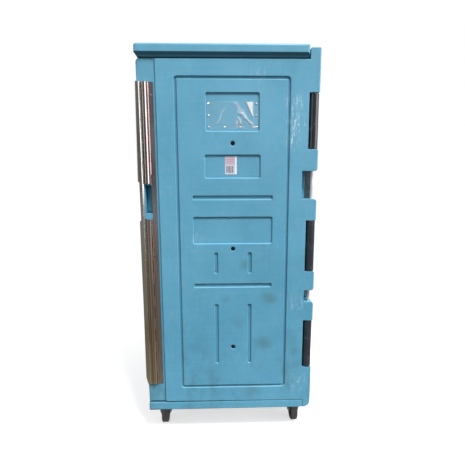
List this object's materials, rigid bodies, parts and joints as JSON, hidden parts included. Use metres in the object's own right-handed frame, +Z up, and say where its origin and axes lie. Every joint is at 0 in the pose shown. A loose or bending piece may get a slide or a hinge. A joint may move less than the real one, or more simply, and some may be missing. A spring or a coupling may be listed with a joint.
{
  "type": "insulated food carrier",
  "caption": "Tall insulated roll cabinet with a full-height hinged door, a long latch handle, tray runners inside and swivel casters.",
  "frame": {"origin": "on the floor, under the centre of the whole object's box", "axes": "+Z up, the door faces -Y, and the door's hinge is at +X"},
  "size_m": [0.7354, 0.814, 1.668],
  "materials": {
    "shell_blue": "rotomoulded polyethylene, soft satin, scuffed",
    "foam_core": "rigid closed-cell foam",
    "stainless": "brushed stainless steel",
    "latch_steel": "worn stainless sheet with stains",
    "rack_steel": "satin stainless sheet",
    "bracket_steel": "dark painted steel",
    "barrel_black": "satin black plastic",
    "seal_rubber": "matt black rubber",
    "clear_plastic": "clear flexible sheet",
    "rivet_aluminium": "domed rivets, satin",
    "label_paper": "white paper label",
    "plug_rubber": "dark rubber",
    "caster_black": "black painted steel",
    "caster_steel": "zinc-plated steel, dull",
    "wheel_hub": "grey moulded plastic",
    "wheel_tyre": "grey rubber, worn"
  },
  "bodies": {
    "cabinet": {"cabinet_shell": "shell_blue", "cabinet_foam": "foam_core", "hinge_post": "stainless", "bracket_bolts": "stainless", "latch_strike_lower": "stainless", "latch_strike_upper": "stainless", "strike_screws": "stainless", "tray_posts_left": "rack_steel", "tray_posts_right": "rack_steel", "tray_runners_left": "rack_steel", "tray_runners_right": "rack_steel", "rack_studs": "rack_steel", "caster_bolts": "caster_steel", "hinge_bracket_bottom": "bracket_steel", "hinge_bracket_middle": "bracket_steel", "hinge_bracket_top": "bracket_steel", "hinge_barrel_bottom": "barrel_black", "hinge_barrel_middle": "barrel_black", "hinge_barrel_top": "barrel_black", "caster_plate_front_left": "caster_black", "caster_plate_front_right": "caster_black", "caster_plate_rear_left": "caster_black", "caster_plate_rear_right": "caster_black"},
    "door": {"door_shell": "shell_blue", "door_foam": "foam_core", "door_gasket": "seal_rubber", "hinge_pin": "stainless", "card_pocket": "clear_plastic", "card_rivets": "rivet_aluminium", "label_sticker": "label_paper", "foam_plugs": "plug_rubber", "latch_leaf": "latch_steel", "latch_screws": "latch_steel", "latch_pin": "latch_steel"},
    "latch": {"latch_handle": "latch_steel"},
    "fork_front_left": {"caster_fork_front_left": "caster_steel", "caster_kingpin_front_left": "caster_steel", "caster_axle_front_left": "caster_steel"},
    "wheel_front_left": {"caster_wheel_front_left": "wheel_hub", "caster_tyre_front_left": "wheel_tyre"},
    "fork_front_right": {"caster_fork_front_right": "caster_steel", "caster_kingpin_front_right": "caster_steel", "caster_axle_front_right": "caster_steel"},
    "wheel_front_right": {"caster_wheel_front_right": "wheel_hub", "caster_tyre_front_right": "wheel_tyre"},
    "fork_rear_left": {"caster_fork_rear_left": "caster_steel", "caster_kingpin_rear_left": "caster_steel", "caster_axle_rear_left": "caster_steel"},
    "wheel_rear_left": {"caster_wheel_rear_left": "wheel_hub", "caster_tyre_rear_left": "wheel_tyre"},
    "fork_rear_right": {"caster_fork_rear_right": "caster_steel", "caster_kingpin_rear_right": "caster_steel", "caster_axle_rear_right": "caster_steel"},
    "wheel_rear_right": {"caster_wheel_rear_right": "wheel_hub", "caster_tyre_rear_right": "wheel_tyre"}
  },
  "joints": [
    {"name": "door_swing", "type": "hinge", "parent": "cabinet", "child": "door", "pos_m": [0.34425, -0.3775, 0.89], "axis": [0, 0, 1], "range_deg": [0, 210]},
    {"name": "latch_swing", "type": "hinge", "parent": "door", "child": "latch", "pos_m": [-0.31625, -0.3964, 1.06181], "axis": [0, 0, 1], "range_deg": [0, 45]},
    {"name": "swivel_front_left", "type": "hinge", "parent": "cabinet", "child": "fork_front_left", "pos_m": [-0.30425, -0.321, 0.114], "axis": [0, 0, 1], "continuous": true},
    {"name": "roll_front_left", "type": "hinge", "parent": "fork_front_left", "child": "wheel_front_left", "pos_m": [-0.3062, -0.29307, 0.05], "axis": [0.9976, 0.0698, 0], "continuous": true},
    {"name": "swivel_front_right", "type": "hinge", "parent": "cabinet", "child": "fork_front_right", "pos_m": [0.30775, -0.321, 0.114], "axis": [0, 0, 1], "continuous": true},
    {"name": "roll_front_right", "type": "hinge", "parent": "fork_front_right", "child": "wheel_front_right", "pos_m": [0.30775, -0.293, 0.05], "axis": [1, 0, 0], "continuous": true},
    {"name": "swivel_rear_left", "type": "hinge", "parent": "cabinet", "child": "fork_rear_left", "pos_m": [-0.30425, 0.327, 0.114], "axis": [0, 0, 1], "continuous": true},
    {"name": "roll_rear_left", "type": "hinge", "parent": "fork_rear_left", "child": "wheel_rear_left", "pos_m": [-0.30425, 0.299, 0.05], "axis": [-1, 0, 0], "continuous": true},
    {"name": "swivel_rear_right", "type": "hinge", "parent": "cabinet", "child": "fork_rear_right", "pos_m": [0.30775, 0.327, 0.114], "axis": [0, 0, 1], "continuous": true},
    {"name": "roll_rear_right", "type": "hinge", "parent": "fork_rear_right", "child": "wheel_rear_right", "pos_m": [0.30775, 0.299, 0.05], "axis": [-1, 0, 0], "continuous": true}
  ]
}
